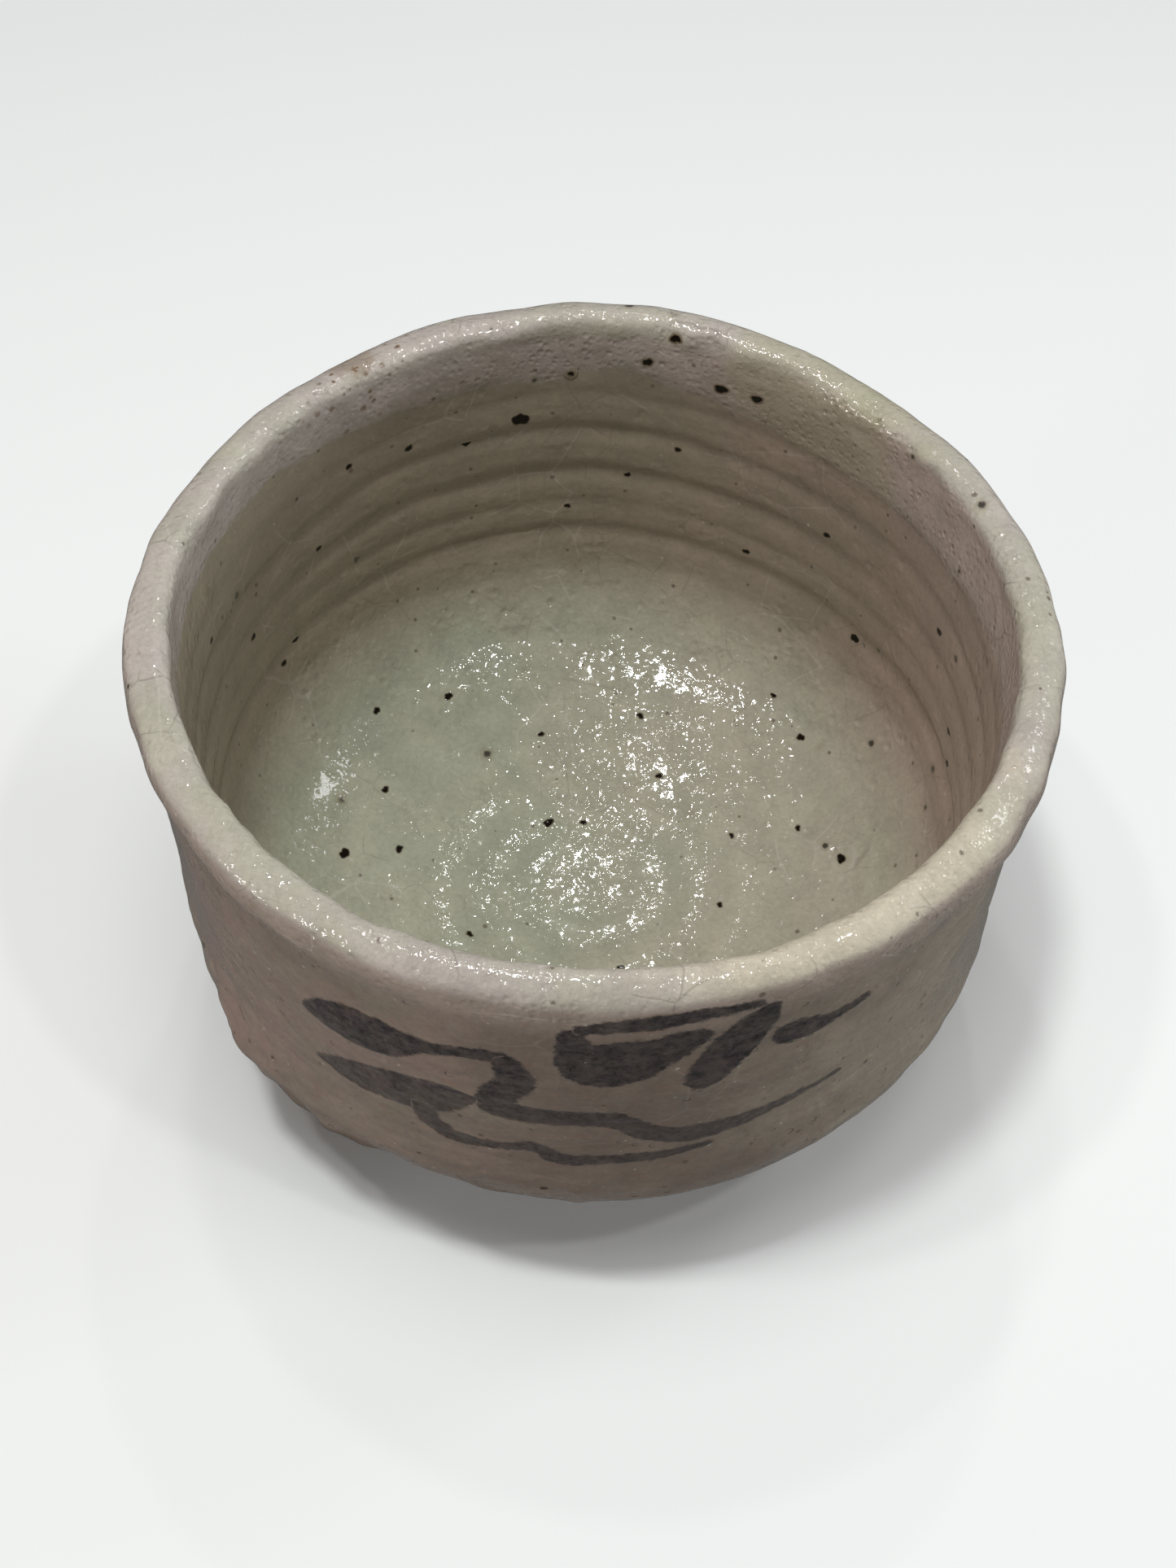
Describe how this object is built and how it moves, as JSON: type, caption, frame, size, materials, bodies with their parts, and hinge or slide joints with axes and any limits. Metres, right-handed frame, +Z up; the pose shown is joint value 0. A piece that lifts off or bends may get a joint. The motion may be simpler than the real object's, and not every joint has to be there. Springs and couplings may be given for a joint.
{
  "type": "tea bowl",
  "caption": "Round hand-thrown stoneware tea bowl with a soft lip, a turned-under waist, a foot ring, pale glaze coats and dark iron brushwork.",
  "frame": {"origin": "centre of the face the foot ring stands on", "axes": "+Z up along the bowl's axis; -Y towards the front, where the brushwork is; +X to the right seen from the front"},
  "size_m": [0.124, 0.124, 0.08],
  "materials": {
    "bare_clay": "matt, slightly gritty fired clay",
    "inside_glaze": "glossy, translucent, crackled, with fine bumps",
    "outside_glaze": "glossy, translucent, crackled, with fine bumps",
    "lip_glaze": "glossy, thicker and paler",
    "iron_oxide": "mottled iron oxide melted into the glaze"
  },
  "bodies": {
    "root": {"thrown_body": "bare_clay", "foot_ring": "bare_clay", "inside_glaze": "inside_glaze", "outside_glaze": "outside_glaze", "lip_glaze": "lip_glaze", "iron_specks": "iron_oxide", "brush_upper_leaf": "iron_oxide", "brush_middle_line": "iron_oxide", "brush_lower_leaf": "iron_oxide", "brush_lower_line": "iron_oxide", "brush_centre_dab": "iron_oxide", "brush_top_line": "iron_oxide", "brush_right_dab": "iron_oxide", "brush_right_flick": "iron_oxide"}
  },
  "joints": []
}
